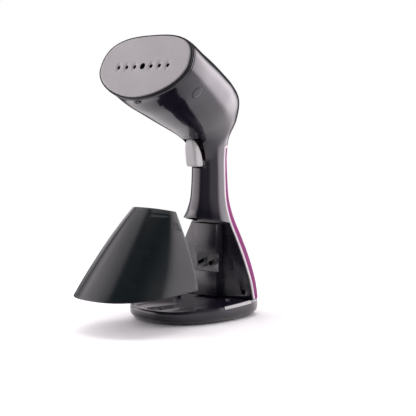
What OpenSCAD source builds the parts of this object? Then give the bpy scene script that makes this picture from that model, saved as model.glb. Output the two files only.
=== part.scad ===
// Handheld garment steamer that stands on its own base, with a lift-out water tank.
// X runs across the steamer, the steam plate faces -Y, Z is up, and Z = 0 is the table.

/* [Base] */
// Width of the standing base
base_w = 117; // [117:1:124]
// Reach of the base in front of the handle axis
base_front = 97; // [95:1:104]
// Reach of the base behind the handle axis
base_rear = 36; // [36:1:42]
// Height of the tray deck above the table
deck_z = 18.5; // [18:0.1:19]
// Fall of the deck towards the front, in degrees
deck_fall = 2.5; // [2:0.5:3]
// Height of the rubber feet
foot_h = 1.5; // [1:0.5:2]

/* [Housing] */
// Width of the rear housing at the deck
housing_w = 115; // [110:1:115]
// Depth of the rear housing behind the handle axis
housing_rear = 34; // [30:1:35]
// Wall thickness of the skins
skin_t = 2.2; // [1.8:0.1:2.4]
// Width of the trim strip between the dark shell and the rear cover
trim_w = 3; // [2:0.2:4]

/* [Handle] */
// Width of the grip
grip_w = 34.8; // [33:0.2:38]
// Depth of the grip in front of its axis
grip_front = 19.5; // [18:0.5:22]
// Height of the lower edge of the handle at the bay wall
skirt_z = 96.5; // [96:0.1:97]
// Rise of that edge towards the front, in degrees
skirt_slope = 11.5; // [11:0.5:12]

/* [Head] */
// Width of the head at the steam plate
head_w = 122; // [118:1:124]
// Height of the head at the steam plate
head_h = 70; // [69:1:72]
// Angle of the steam plate from level, in degrees
plate_tilt = 66.5; // [66:0.5:67]
// Width of the steam plate
plate_w = 118; // [115:1:118]
// Diameter of a small steam hole
steam_hole_d = 4; // [3:0.2:5]
// Diameter of the middle steam hole
centre_hole_d = 6.8; // [5:0.2:7]
// Distance from one steam hole to the next
steam_pitch = 11; // [10:0.5:12]

/* [Water tank] */
// How far the tank is drawn out along its guide
tank_travel = 83; // [60:0.5:90]
// Rise of the tank's path, in degrees
tank_slope = 13; // [12.5:0.5:13.5]
// Wall thickness of the tank
tank_t = 1.8; // [1.6:0.1:2]
// Clearance between the tank and its bay
tank_gap = 0.4; // [0.3:0.1:0.5]

/* [Trigger] */
// Width of the trigger
trigger_w = 15; // [14:0.5:16]
// Diameter of the trigger's pin
pin_d = 3; // [2.5:0.5:3]

/* [Cord gland] */
// Bore of the cord gland
cord_bore_d = 7; // [6:0.5:7.5]

/* [Hidden] */
$fn = 48;

fit = 0.1;                    // gap between pieces that are fixed together
shell_y = 3;                  // the dark shell ends and the trim begins here
cover_y = shell_y + trim_w;   // the trim ends and the rear cover begins here
wall_y = 1;                   // front face of the bay wall
spans = 3;                    // steps between two sections of the skin

// Sections of the outer skin, from the deck to the steam plate:
// centre y, centre z, tilt, half width, depth in front, depth behind, squareness in front, squareness behind
SECTIONS = [
    [0, deck_z, 0, housing_w / 2, 30, housing_rear, 2.3, 2.3],
    [0, 35, 0, 0.939 * housing_w / 2, 30, housing_rear + 0.5, 2.3, 2.3],
    [0, 51, 0, 0.838 * housing_w / 2, 30, housing_rear, 2.3, 2.3],
    [0, 66.5, 0, 0.722 * housing_w / 2, 29, housing_rear - 2, 2.3, 2.3],
    [0, 83, 0, 0.579 * housing_w / 2, 29, housing_rear - 5, 2.3, 2.3],
    [0, skirt_z, 0, 0.457 * housing_w / 2, 28, 26, 2.3, 2.3],
    [0, 109.5, 0, grip_w / 2 + 4, 24, 23, 2.3, 2.3],
    [0, 125.5, 0, grip_w / 2 + 1.1, 21, 20, 2.3, 2.3],
    [0, 154.5, 0, grip_w / 2, grip_front, 18, 2.3, 2.3],
    [0, 169.5, 2, grip_w / 2 + 0.4, grip_front + 2.5, 17.5, 2.3, 2.3],
    [-1, 184.5, 10, 20.5, 28, 21, 2.3, 2.3],
    [-2, 197.5, 21, 26.5, 35.5, 34.5, 2.25, 2.3],
    [-7, 210.5, 33, 34, 40.5, 40.5, 2.2, 2.35],
    [-19, 221.5, 44, 41, 42, 37, 2.1, 2.4],
    [-37, 230, 52, 46.5, 41, 36, 2, 2.5],
    [-57, 238.5, 58, 52, 40, 35.5, 1.9, 2.6],
    [-77, 246.5, 63, 57.5, 38.5, 34.2, 1.85, 2.7],
    [-92.5, 252.5, 66, head_w / 2 - 0.4, head_h / 2 + 0.2, head_h / 2 + 0.2, 1.8, 2.75],
    [-99.5, 255.5, plate_tilt, head_w / 2, head_h / 2, head_h / 2, 1.8, 2.75]
];
grip_z = SECTIONS[7][1];       // the handle is straight above this height
skirt_i = 5 * spans;          // ring at the handle's lower edge
frame_lo_i = 8 * spans;       // ring at the bottom of the trigger's window
arch_i = 9 * spans + 1;       // ring where the trim closes over the rear cover
trim_top_i = arch_i + 1;
frame_hi_i = 11 * spans;      // ring at the top of the trigger's window
seam_i = 11 * spans + 1;      // ring where the top cover begins
plate_i = (len(SECTIONS) - 1) * spans;

front_cols = 13;
rear_cols = 11;
window_cols = 4;              // columns each side of the middle that the trigger's window takes
seam_cols = 6;                // columns each side of the middle that the top cover takes
half_cols = front_cols + 1 + rear_cols;

function sgn_pow(x, e) = x < 0 ? -pow(-x, e) : pow(x, e);

// One coordinate of a smooth curve through the rows of p, at row i + t
function blend(p, i, t, k) =
    let(last = len(p) - 1, a = p[max(i - 1, 0)][k], b = p[i][k],
        c = p[min(i + 1, last)][k], d = p[min(i + 2, last)][k])
    b + 0.5 * t * (c - a + t * (2 * a - 5 * b + 4 * c - d + t * (3 * (b - c) + d - a)));

function row(p, i, t) = [for (k = [0:len(p[0]) - 1]) blend(p, i, t, k)];

RINGS = concat([for (i = [0:len(SECTIONS) - 2]) for (s = [0:spans - 1]) row(SECTIONS, i, s / spans)],
    [SECTIONS[len(SECTIONS) - 1]]);

// Angle around a section at which it crosses the plane y = at
function cross_angle(r, at) = asin(pow(at / r[5], r[7] / 2));

// Angle of column c, from the middle of the front to the middle of the back
function column_angle(r, c) =
    let(a = cross_angle(r, shell_y), b = cross_angle(r, cover_y))
    c <= front_cols ? -90 + (90 + a) * c / front_cols : b + (90 - b) * (c - front_cols - 1) / rear_cols;

// How far the handle's lower edge is lifted towards the front at height z
function skirt_lift(y, z) =
    max(shell_y - y, 0) * tan(skirt_slope) * min(max((grip_z - z) / (grip_z - skirt_z), 0), 1);

// A point of section r at angle f around it, t inside the outer face
function round_point(r, f, t) =
    let(n = f < 0 ? r[6] : r[7], x = (r[3] - t) * sgn_pow(cos(f), 2 / n),
        v = sgn_pow(sin(f), 2 / n) * ((f < 0 ? r[4] : r[5]) - t),
        y = r[0] + v * cos(r[2]), z = r[1] + v * sin(r[2]))
    [x, y, z + skirt_lift(y, z)];

// A point of the skin on ring i and column j, t inside the outer face
function skin_point(i, j, t) =
    let(r = RINGS[i], left = j > half_cols, c = left ? 2 * half_cols - j : j,
        p = round_point(r, column_angle(r, c), t))
    [left ? -p[0] : p[0], p[1], p[2]];

// Half width of the skin at height z
WIDTHS = [for (r = RINGS) [r[1], r[3]]];
function half_w(z) = lookup(z, WIDTHS);

// Outline of a superellipse with half axes a and b
function oval(a, b, n, count) =
    [for (k = [0:count - 1]) let(f = 360 * k / count)
        [a * sgn_pow(cos(f), 2 / n), b * sgn_pow(sin(f), 2 / n)]];

// A closed wall between two grids of points, over the cells (i, j) that keep() picks
module wall_between(outer, inner, keep) {
    rows = len(outer);
    cols = len(outer[0]);
    n = rows * cols;
    points = concat([for (r = outer) for (p = r) p], [for (r = inner) for (p = r) p]);
    on = function(i, j) i >= 0 && j >= 0 && i < rows - 1 && j < cols - 1 && keep(i, j);
    id = function(i, j) i * cols + j;
    faces = [
        for (i = [0:rows - 2]) for (j = [0:cols - 2]) if (on(i, j))
            let(a = id(i, j), b = id(i, j + 1), c = id(i + 1, j + 1), d = id(i + 1, j))
            each [
                [a, c, b], [a, d, c],
                [a + n, b + n, c + n], [a + n, c + n, d + n],
                if (!on(i - 1, j)) each [[a, b, b + n], [a, b + n, a + n]],
                if (!on(i + 1, j)) each [[d, d + n, c + n], [d, c + n, c]],
                if (!on(i, j - 1)) each [[a, a + n, d + n], [a, d + n, d]],
                if (!on(i, j + 1)) each [[b, c, c + n], [b, c + n, b + n]]
            ]
    ];
    polyhedron(points, faces, convexity = 8);
}

// The part of the skin whose cells keep() picks
module skin(keep) {
    outer = [for (i = [0:plate_i]) [for (j = [0:2 * half_cols]) skin_point(i, j, 0)]];
    inner = [for (i = [0:plate_i]) [for (j = [0:2 * half_cols]) skin_point(i, j, skin_t)]];
    wall_between(outer, inner, keep);
}

// Cells of the skin that belong to each piece, for column j counted from the front on either side
fold = function(j) j < half_cols ? j : 2 * half_cols - 1 - j;
in_window = function(i, j) fold(j) < window_cols && i >= frame_lo_i && i < frame_hi_i;
in_top = function(i, j) fold(j) >= half_cols - seam_cols && i >= seam_i;
in_trim = function(i, j) (fold(j) == front_cols && i < trim_top_i) || (fold(j) > front_cols && i == arch_i);
in_cover = function(i, j) fold(j) > front_cols && i < arch_i;
in_shell = function(i, j)
    i >= skirt_i && !in_trim(i, j) && !in_cover(i, j) && !in_window(i, j) && !in_top(i, j);

// Round hose of radius r along a smooth curve through the points of a route
module hose(route, r) {
    steps = 3;
    sides = 10;
    path = concat([for (i = [0:len(route) - 2]) for (k = [0:steps - 1]) row(route, i, k / steps)],
        [route[len(route) - 1]]);
    last = len(path) - 1;
    points = [
        for (i = [0:last])
            let(d = path[min(i + 1, last)] - path[max(i - 1, 0)], t = d / norm(d), u0 = cross(t, [1, 0.35, 0]),
                u = u0 / norm(u0), v = cross(t, u))
            for (k = [0:sides - 1]) let(a = 360 * k / sides) path[i] + r * (cos(a) * u + sin(a) * v)
    ];
    faces = concat(
        [[for (k = [0:sides - 1]) k]], [[for (k = [sides - 1:-1:0]) last * sides + k]],
        [for (i = [0:last - 1]) for (k = [0:sides - 1]) let(a = i * sides + k, b = i * sides + (k + 1) % sides)
            each [[a, b + sides, b], [a, a + sides, b + sides]]]
    );
    polyhedron(points, faces, convexity = 6);
}

// Slot with round ends, lying along X
module slot(length, width, h) {
    linear_extrude(h, center = true) {
        square([length - width, width], center = true);
        for (s = [-1, 1]) translate([s * (length - width) / 2, 0]) circle(d = width);
    }
}

/* Base */

base_y = -10;                 // widest line of the base
base_floor_z = 4;             // top of the bottom plate
deck_t = 2.2;
function base_outline(inset) = [
    for (p = oval(1, 1, 2.5, 96)) [p[0] * (base_w / 2 - inset),
        base_y + p[1] * ((p[1] < 0 ? base_front + base_y : base_rear - base_y) - inset)]
];

// Height of the deck at y: level under the housing, falling towards the front
function deck_at(y) = deck_z + min(y, 0) * tan(deck_fall);

// Everything in front of the housing that is higher than drop below the deck
module over_deck(drop) {
    translate([-100, 0, deck_z - drop]) rotate([deck_fall, 0, 0]) translate([0, -150, 0]) cube([200, 150, 40]);
}

module base_slab(inset, z0, z1) {
    translate([0, 0, z0]) linear_extrude(z1 - z0) polygon(base_outline(inset));
}

catch_y = -87;                // middle of the catch button
catch_z = deck_at(catch_y) - 0.3;
catch_w = 16;
catch_d = 9;
catch_gap = 0.4;
stud_x = 36;
stud_y = -13;
hose_y = 15;                  // hoses pass through the deck and the wall here
screw_spots = [[-38, -56], [38, -56], [-40, 8], [40, 8]];
foot_spots = [[-28, -70], [28, -70], [-30, 18], [30, 18], [0, 0]];
gland_z = 10.5;

module base_tray() {
    color([0.09, 0.09, 0.1]) difference() {
        union() {
            base_slab(2.2, base_floor_z, 5.5);
            base_slab(0.8, 5.5, 7.5);
            base_slab(0, 7.5, deck_z - 2.4);
            base_slab(0.5, deck_z - 2.4, deck_z - 1);
            base_slab(1.8, deck_z - 1, deck_z);
        }
        over_deck(0);
        difference() {
            base_slab(4.2, base_floor_z - 1, deck_z - deck_t);
            over_deck(deck_t);
        }
        translate([-catch_w / 2 - catch_gap, catch_y - catch_d / 2 - catch_gap, catch_z - 4])
            cube([catch_w + 2 * catch_gap, catch_d + 2 * catch_gap, 9]);
        translate([0, hose_y, deck_z - 4]) cylinder(d = 14, h = 6);
        for (s = [-1, 1]) translate([s * stud_x, stud_y, deck_z - 5]) cylinder(d = 4.2, h = 7);
        translate([0, base_rear - 6, gland_z]) rotate([-90, 0, 0]) cylinder(d = 10.4, h = 8);
        translate([-6.2, 20, base_floor_z]) cube([12.4, base_rear - 20 - 2.4, 12.4]);
    }
    color([0.09, 0.09, 0.1]) difference() {
        for (p = screw_spots) translate([p[0], p[1], base_floor_z + fit])
            cylinder(d = 7, h = deck_z - deck_t - base_floor_z - fit);
        over_deck(deck_t);
        for (p = screw_spots) translate([p[0], p[1], base_floor_z - 1]) cylinder(d = 2.6, h = 8.5);
    }
}

module bottom_plate() {
    color([0.07, 0.07, 0.08]) difference() {
        union() {
            base_slab(5.5, foot_h, foot_h + 1);
            base_slab(3.6, foot_h + 1, base_floor_z - fit);
        }
        for (p = screw_spots) translate([p[0], p[1], 0]) {
            cylinder(d = 3.4, h = 10);
            cylinder(d = 6.4, h = foot_h + 1.2);
        }
    }
}

module rubber_feet() {
    color([0.05, 0.05, 0.05]) for (p = foot_spots) translate([p[0], p[1], 0]) cylinder(d = 13, h = foot_h);
}

module base_screws() {
    color([0.6, 0.6, 0.62]) for (p = screw_spots) translate([p[0], p[1], foot_h + 0.1]) {
        cylinder(d = 6, h = 1);
        cylinder(d = 2.5, h = 7);
    }
}

// A light strip let into the edge of the base beside the tank
module edge_strip(side) {
    lean = [[1, 0, 0, 0], [0, 1, 0, 0], [0, tan(deck_fall), 1, deck_z], [0, 0, 0, 1]];
    color([0.72, 0.7, 0.7]) multmatrix(lean)
        intersection() {
            difference() {
                base_slab(-0.5, -3.4, -0.4);
                base_slab(0, -7, 0);
            }
            translate([side * 45, -27, -6]) cube([40, 48, 12], center = true);
        }
}

module edge_strip_left() { edge_strip(-1); }

module edge_strip_right() { edge_strip(1); }

module bay_stud(side) {
    color([0.55, 0.55, 0.57]) translate([side * stud_x, stud_y, deck_at(stud_y)]) rotate([deck_fall, 0, 0]) {
        cylinder(d1 = 6, d2 = 5, h = 0.3);
        translate([0, 0, -3]) cylinder(d = 3.8, h = 3.2);
    }
}

module bay_stud_left() { bay_stud(-1); }

module bay_stud_right() { bay_stud(1); }

module catch_button() {
    color([0.05, 0.05, 0.05]) {
        translate([-catch_w / 2, catch_y - catch_d / 2, catch_z - 3]) cube([catch_w, catch_d, 3]);
        translate([0, catch_y, catch_z - 4]) cylinder(d = 3, h = 2);
    }
}

module catch_cup() {
    color([0.12, 0.12, 0.13]) translate([0, catch_y, base_floor_z]) difference() {
        cylinder(d = 8.6, h = 2.2);
        translate([0, 0, 1]) cylinder(d = 6.4, h = 4);
    }
}

// Coils of a small spring with its turns tied by two wires, standing on Z = 0
module small_spring(turns, pitch, r) {
    wire = 0.4;
    for (k = [0:turns - 1]) translate([0, 0, wire + k * pitch])
        rotate_extrude($fn = 32) translate([r, 0]) circle(r = wire, $fn = 16);
    for (s = [-1, 1]) translate([s * r, 0, wire / 2])
        cylinder(r = 0.25, h = (turns - 1) * pitch + wire, $fn = 16);
}

module catch_spring() {
    color([0.75, 0.75, 0.77]) translate([0, catch_y, base_floor_z + 1 + fit]) small_spring(3, 1.9, 2.4);
}

module cord_gland() {
    color([0.04, 0.04, 0.04]) translate([0, base_rear - 2.6, gland_z]) rotate([-90, 0, 0]) difference() {
        union() {
            cylinder(d = 10.2, h = 4);
            translate([0, 0, -1.8]) cylinder(d = 12, h = 1.6);
            translate([0, 0, -0.3]) cylinder(d = 10.2, h = 1);
            for (k = [0:3]) translate([0, 0, 4 + k * 2.4]) {
                cylinder(d = 9.6 - k * 0.3, h = 1.4);
                cylinder(d = 8.8 - k * 0.2, h = 2.4);
            }
        }
        translate([0, 0, -2]) cylinder(d = cord_bore_d, h = 24);
    }
}

/* Bay wall and rear housing */

column_w = 31;                // width of the raised column on the bay wall
column_out = 9.5;
recess_z = [44, 64];          // the ports sit in the column between these heights
port_x = 7.5;
port_z = 54;
port_l = 12;
port_h = 4.6;
port_slant = 24;
recess_out = 4.5;
wall_t = 1.6;
wall_top = 110.5;

// One point in twelve up the side of the bay wall, on the left (side = -1) or the right (side = 1)
function wall_edge(side, k) =
    let(z = deck_z + k * (skirt_z - fit - deck_z) / 12)
    [side * (half_w(z) - fit), z];

module at_ports() {
    for (s = [-1, 1]) translate([s * port_x, wall_y, port_z])
        rotate([90, 0, 0]) rotate([0, 0, port_slant]) children();
}

module bay_wall() {
    tab = half_w(wall_top) - skin_t - 0.5;
    color([0.06, 0.06, 0.07]) difference() {
        union() {
            translate([0, wall_y + wall_t, 0]) rotate([90, 0, 0]) linear_extrude(wall_t)
                polygon([
                    for (k = [0:12]) wall_edge(1, k),
                    [tab, skirt_z], [tab, wall_top - 6], [tab - 3, wall_top - fit],
                    [3 - tab, wall_top - fit], [-tab, wall_top - 6], [-tab, skirt_z],
                    for (k = [12:-1:0]) wall_edge(-1, k)
                ]);
            for (z = [[deck_z, recess_z[0]], [recess_z[1], skirt_z - 1]])
                translate([-column_w / 2, wall_y - column_out, z[0]])
                    cube([column_w, column_out, z[1] - z[0]]);
            translate([-column_w / 2, wall_y - recess_out, recess_z[0]])
                cube([column_w, recess_out, recess_z[1] - recess_z[0]]);
        }
        at_ports() slot(port_l, port_h, 20);
        for (s = [-1, 1]) translate([s * 45 - 2.5, wall_y - 1, deck_z + 3.5]) cube([5, 4, 5]);
    }
}

module port_seals() {
    color([0.15, 0.15, 0.16]) at_ports() translate([0, 0, recess_out + 0.5]) difference() {
        slot(port_l + 1.6, port_h + 1.6, 0.8);
        slot(port_l - 0.4, port_h - 0.4, 4);
    }
}

module rear_cover() {
    color([0.62, 0.08, 0.35]) skin(in_cover);
}

module trim_strip() {
    color([0.82, 0.8, 0.82]) skin(in_trim);
}

module shell_left() {
    color([0.1, 0.1, 0.11]) skin(function(i, j) in_shell(i, j) && j >= half_cols);
}

module shell_right() {
    color([0.1, 0.1, 0.11]) skin(function(i, j) in_shell(i, j) && j < half_cols);
}

module top_cover() {
    color([0.13, 0.13, 0.14]) skin(in_top);
}

// Closes the handle above the tank's neck
module handle_floor() {
    r = RINGS[6 * spans];
    color([0.08, 0.08, 0.09]) translate([0, wall_y + wall_t, wall_top]) linear_extrude(2) polygon([
        for (k = [0:24]) let(f = -180 + k * 7.5)
            [(r[3] - skin_t - 1) * sgn_pow(cos(f), 2 / r[6]), (r[4] - 1) * sgn_pow(sin(f), 2 / r[6])]
    ]);
}

/* Head */

PLATE = SECTIONS[len(SECTIONS) - 1];

module at_plate() {
    translate([0, PLATE[0], PLATE[1]]) rotate([plate_tilt, 0, 0]) children();
}

head_a = head_w / 2;
head_b = head_h / 2;
plate_a = plate_w / 2;
plate_b = head_b - (head_a - plate_a);

// Outline of the head at the plate: rounder below than above
function plate_oval(a, b) = [
    for (k = [0:95]) let(f = 3.75 * k, n = f > 180 ? PLATE[6] : PLATE[7])
        [a * sgn_pow(cos(f), 2 / n), b * sgn_pow(sin(f), 2 / n)]
];

module oval_ring(a, b, a2, b2, z0, z1) {
    translate([0, 0, z0]) linear_extrude(z1 - z0) difference() {
        polygon(plate_oval(a, b));
        polygon(plate_oval(a2, b2));
    }
}

module oval_slab(a, b, z0, z1) {
    translate([0, 0, z0]) linear_extrude(z1 - z0) polygon(plate_oval(a, b));
}

module plate_bezel() {
    color([0.03, 0.03, 0.03]) at_plate() {
        oval_ring(head_a - 0.2, head_b - 0.2, plate_a + 0.3, plate_b + 0.3, 0.05, 2.2);
        oval_ring(head_a - 1, head_b - 1, plate_a + 0.3, plate_b + 0.3, 2.2, 3.4);
        oval_ring(head_a - skin_t - 0.8, head_b - skin_t - 0.8, plate_a - 4, plate_b - 4, -2.5, 0.05);
    }
}

module steam_holes() {
    for (k = [-3:3]) translate([k * steam_pitch, 0, -5])
        cylinder(d = k == 0 ? centre_hole_d : steam_hole_d, h = 20);
}

module steam_plate() {
    color([0.68, 0.66, 0.67]) at_plate() difference() {
        union() {
            oval_slab(plate_a, plate_b, 0.1, 2.6);
            oval_slab(plate_a - 1, plate_b - 1, 2.6, 3.4);
        }
        steam_holes();
        for (k = [-3:3]) if (k != 0) translate([k * steam_pitch, 0, 3.5]) rotate([0, 0, 90]) slot(13, 6, 1);
    }
}

module plate_gasket() {
    color([0.35, 0.1, 0.08]) at_plate()
        oval_ring(plate_a - 4.3, plate_b - 4.3, plate_a - 7, plate_b - 7, -1.4, 0);
}

module boiler_block() {
    color([0.6, 0.6, 0.6]) at_plate() difference() {
        union() {
            oval_slab(plate_a - 7.5, plate_b - 7.5, -12, 0);
            for (k = [-1, 1]) translate([k * 30, 0, -13.5]) cylinder(d = 12, h = 2);
        }
        translate([0, 0, -8]) linear_extrude(10) difference() {
            polygon(plate_oval(plate_a - 10.5, plate_b - 10.5));
            for (k = [-1, 1]) translate([k * 24, 0]) square([4, 20], center = true);
        }
    }
}

module boiler_cover() {
    color([0.5, 0.5, 0.5]) at_plate() difference() {
        oval_slab(plate_a - 9, plate_b - 9, -15, -12.1);
        for (k = [-1, 1]) translate([k * 30, 0, -16]) cylinder(d = 12.4, h = 6);
        translate([0, 0, -16]) cylinder(d = 6.2, h = 6);
    }
}

module heating_element() {
    color([0.4, 0.38, 0.36]) at_plate() translate([0, 0, -18.2]) {
        for (s = [-1, 1]) translate([-18, s * 12, 0]) rotate([0, 90, 0]) cylinder(d = 6, h = 36);
        translate([18, 0, 0]) rotate([0, 0, -90]) rotate_extrude(angle = 180) translate([12, 0]) circle(d = 6);
    }
}

module thermostat() {
    color([0.75, 0.73, 0.65]) at_plate() translate([-36, 0, -19]) {
        cylinder(d = 14, h = 3.9);
        translate([0, 0, -3]) cylinder(d = 10, h = 3.1);
        for (s = [-1, 1]) translate([s * 3 - 0.4, -3, -7]) cube([0.8, 6, 4.5]);
    }
}

module thermal_fuse() {
    color([0.85, 0.82, 0.7]) at_plate() translate([24, -9, -23.4]) rotate([-90, 0, 0]) {
        cylinder(d = 4, h = 18);
        translate([0, 0, -6]) cylinder(d = 1, h = 30);
    }
}

// Small pocket under the bezel that an attachment hooks into
module attachment_slot() {
    color([0.02, 0.02, 0.02]) at_plate() translate([0, -head_b - 0.3, -4]) difference() {
        translate([-3.5, -1, -1.8]) cube([7, 1, 3.6]);
        translate([-2.3, -2, -1]) cube([4.6, 4, 2]);
    }
}

// Cap over a screw on the side of the head, square to the skin at that place
module screw_cap(side) {
    i = 47;
    at = -24;
    p = round_point(RINGS[i], at, 0);
    across = round_point(RINGS[i], at + 2, 0) - round_point(RINGS[i], at - 2, 0);
    along = round_point(RINGS[i + 1], at, 0) - round_point(RINGS[i - 1], at, 0);
    out = cross(across, along);
    n = out / norm(out) * sign(out[0]);
    color([0.16, 0.16, 0.17]) mirror([side < 0 ? 1 : 0, 0, 0]) translate(p + 0.3 * n)
        rotate([0, acos(n[2]), atan2(n[1], n[0])]) cylinder(d = 12.4, h = 0.8);
}

module screw_cap_left() { screw_cap(-1); }

module screw_cap_right() { screw_cap(1); }

/* Trigger and switch */

pivot = [0, -13, 185.5];      // axis of the trigger's pin
lever_z = 168.5;              // height at which the trigger presses the switch
pad_top = 185.4;              // top of the trigger's finger pad
corner_r = 5;
ear_x = 9;                    // the carrier's ears stand this far from the middle
rib_pitch = 2.2;
arm_w = 6;

module side_profile(points, w) {
    rotate([90, 0, 90]) translate([0, 0, -w / 2]) linear_extrude(w) polygon(points);
}

module at_pivot() {
    translate(pivot) rotate([0, 90, 0]) children();
}

// Front outline of the finger pad, with round upper corners
module pad_outline() {
    translate([-trigger_w / 2, 150]) square([trigger_w, pad_top - corner_r - 150]);
    translate([corner_r - trigger_w / 2, 150]) square([trigger_w - 2 * corner_r, pad_top - 150]);
    for (s = [-1, 1]) translate([s * (trigger_w / 2 - corner_r), pad_top - corner_r]) circle(r = corner_r);
}

module trigger() {
    color([0.7, 0.69, 0.69]) difference() {
        union() {
            intersection() {
                side_profile([
                    [-20, 156.2], [-28.5, 156.2], [-30.6, 157.2], [-31.9, 163], [-32.7, 169], [-33.3, 175],
                    [-33.6, 180], [-33.2, 184], [-32, pad_top], [-29.9, 182], [-25.3, 175], [-22.6, 169],
                    [-20.9, 163]
                ], trigger_w);
                rotate([90, 0, 0]) linear_extrude(40) pad_outline();
            }
            side_profile([[-30.5, 182], [-26.2, 177], [-13, 181.7], [-9.4, 185.5], [-13, 189.1]], arm_w);
            at_pivot() cylinder(d = 7, h = trigger_w - 3, center = true);
            side_profile([
                [-24, lever_z - 3], [-14, lever_z - 2], [-14, lever_z + 2], [-24, lever_z + 3]
            ], arm_w);
        }
        at_pivot() cylinder(d = pin_d + 0.1, h = 30, center = true);
        for (s = [-1, 1]) for (k = [0:2])
            translate([s * (trigger_w / 2 + 0.1), k * rib_pitch - 30.4, 168])
                cube([1, 0.9, 14], center = true);
    }
}

module trigger_pin() {
    color([0.7, 0.7, 0.72]) at_pivot() cylinder(d = pin_d, h = 2 * ear_x + 4, center = true);
}

// Carrier behind the trigger, with the ears that hold its pin
module trigger_frame() {
    color([0.04, 0.04, 0.04]) difference() {
        for (s = [-1, 1]) translate([s * ear_x, 0, 0]) side_profile([
            [-13, 153.5], [-9, 153.5], [-9, 190.5], [-15.4, 190.5], [-15.4, 181], [-13, 178]
        ], 2);
        at_pivot() cylinder(d = pin_d, h = 30, center = true);
    }
    color([0.04, 0.04, 0.04]) translate([-10, -9, 153.5]) difference() {
        cube([20, 2, 37]);
        translate([6, -1, 9]) cube([8, 4, 12]);
    }
}

module trigger_spring() {
    color([0.75, 0.75, 0.77]) translate([0, -9.3, 159.5]) rotate([90, 0, 0]) small_spring(4, 2, 2.2);
}

module switch_body() {
    color([0.1, 0.1, 0.12]) translate([0, 0.5, lever_z]) difference() {
        cube([6, 10, 19], center = true);
        translate([0, -8, 0]) cube([3.2, 12, 4.2], center = true);
    }
    color([0.1, 0.1, 0.12]) translate([-3, -6.95, lever_z - 9.5]) difference() {
        cube([6, 2.5, 19]);
        translate([1, -1, 4]) cube([4, 5, 11]);
    }
    color([0.8, 0.7, 0.4]) for (k = [-1:1]) translate([-0.4, 5.5, lever_z + k * 6 - 1.5]) cube([0.8, 5, 3]);
}

module switch_plunger() {
    color([0.75, 0.15, 0.12]) translate([-1.5, -13.6, lever_z - 2]) cube([3, 9.6, 4]);
}

/* Pump, board and hoses */

pump_c = [0, 17, 40];
hose_r = 2;

module water_pump() {
    color([0.75, 0.73, 0.7]) translate(pump_c) {
        translate([0, 0, -10]) cylinder(d = 16, h = 30);
        translate([-11, -9, -2]) cube([22, 18, 14]);
        translate([0, 0, 20]) cylinder(d = 5, h = 7);
        translate([0, 0, -13]) cylinder(d = 5, h = 3);
    }
}

module pump_cradle() {
    color([0.2, 0.2, 0.21]) difference() {
        translate([-15, shell_y, 34]) cube([30, 12, 14]);
        translate([-11.3, 7.8, 30]) cube([22.6, 20, 30]);
        translate([0, pump_c[1], 30]) cylinder(d = 16.4, h = 30);
    }
}

module inlet_hose() {
    color([0.85, 0.85, 0.85]) hose([
        [-7.5, 3, 54], [-11, 7.5, 53.5], [-18.4, 9.5, 46], [-18.5, 11.5, 32],
        [-12, 16, 24.5], [-4, 17, 23], [0, 17, 24.6], [0, 17, 26.7]
    ], hose_r - 0.1);
}

module outlet_hose() {
    color([0.85, 0.85, 0.85]) hose([
        [0, 17, 67.4], [0, 16, 76], [5, 11.5, 93], [8.5, 9.5, 118], [8.5, 9, 150], [8.5, 8.5, 178],
        [5, 6, 203], [0, -12, 222], [0, -50, 235], [0, -70, 242.7], [0, -87, 250]
    ], hose_r);
}

module control_board() {
    color([0.08, 0.3, 0.16]) {
        translate([-12, 7.5, 115]) cube([18, 1.6, 38]);
        translate([-9, 9.1, 120]) cube([8, 3, 10]);
        translate([-8, 9.1, 136]) cube([7, 2.5, 7]);
    }
}

/* Water tank */

tank_z0 = deck_z + tank_gap;
tank_top_z = skirt_z - 1.6;
tank_rows = 12;
tank_cols = 44;
bulge_y = 25;                 // widest line of the tank's foot
bulge_reach = 130;
drawn = [0, -tank_travel * cos(tank_slope), tank_travel * sin(tank_slope)];

tank_front = base_front - 2.5;

// Half width of the tank where it meets the bay wall
function tank_side(z) = 0.93 * half_w(z + 1);

// A point of the tank's skin at height s (0 to 1) and place u around it (0 to 1), t inside the outer face
function tank_point(s, u, t) =
    let(n = 2.55 - 0.25 * s, z0 = tank_z0 + s * (tank_top_z - tank_z0), cy = -bulge_y * (1 - s),
        side = tank_side(z0), a = side / pow(1 - pow(-cy / bulge_reach, n), 1 / n) - t,
        front = tank_front + (24 - tank_front) * s + cy - t,
        f0 = asin(pow(-cy / bulge_reach, n / 2)), f = -90 + (u < 0.5 ? -1 : 1) * (90 + f0) * abs(2 * u - 1),
        g = sgn_pow(sin(f), 2 / n), y = min(cy + g * (g < 0 ? front : bulge_reach), -0.15))
    [a * sgn_pow(cos(f), 2 / n), y, z0 - y * s * s * tan(skirt_slope) + y * pow(1 - s, 2) * tan(deck_fall)];

function tank_ring(s, t) = [for (k = [0:tank_cols]) tank_point(s, k / tank_cols, t)];

module tank_frame() {
    translate(drawn) children();
}

tank_tint = [0.1, 0.11, 0.13, 0.75];

module tank_shell() {
    color(tank_tint) tank_frame() wall_between([for (i = [0:tank_rows]) tank_ring(i / tank_rows, 0)],
        [for (i = [0:tank_rows]) tank_ring(i / tank_rows, tank_t)], function(i, j) true);
}

channel_w = column_w + 1.2;   // the tank straddles the bay wall's column
channel_d = column_out + 0.6;
channel_t = 1.6;
roof_s = 0.93;                // the roof sits this far up the tank
back_t = 1.8;

function flat(ring) = [for (p = ring) [p[0], p[1]]];

module channel_cut(grow, z0, h) {
    translate([-channel_w / 2 - grow, -channel_d - grow, z0])
        cube([channel_w + 2 * grow, channel_d + grow + 5, h]);
}

roof_z = tank_z0 + roof_s * (tank_top_z - tank_z0);
roof_tilt = skirt_slope * roof_s * roof_s;

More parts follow.
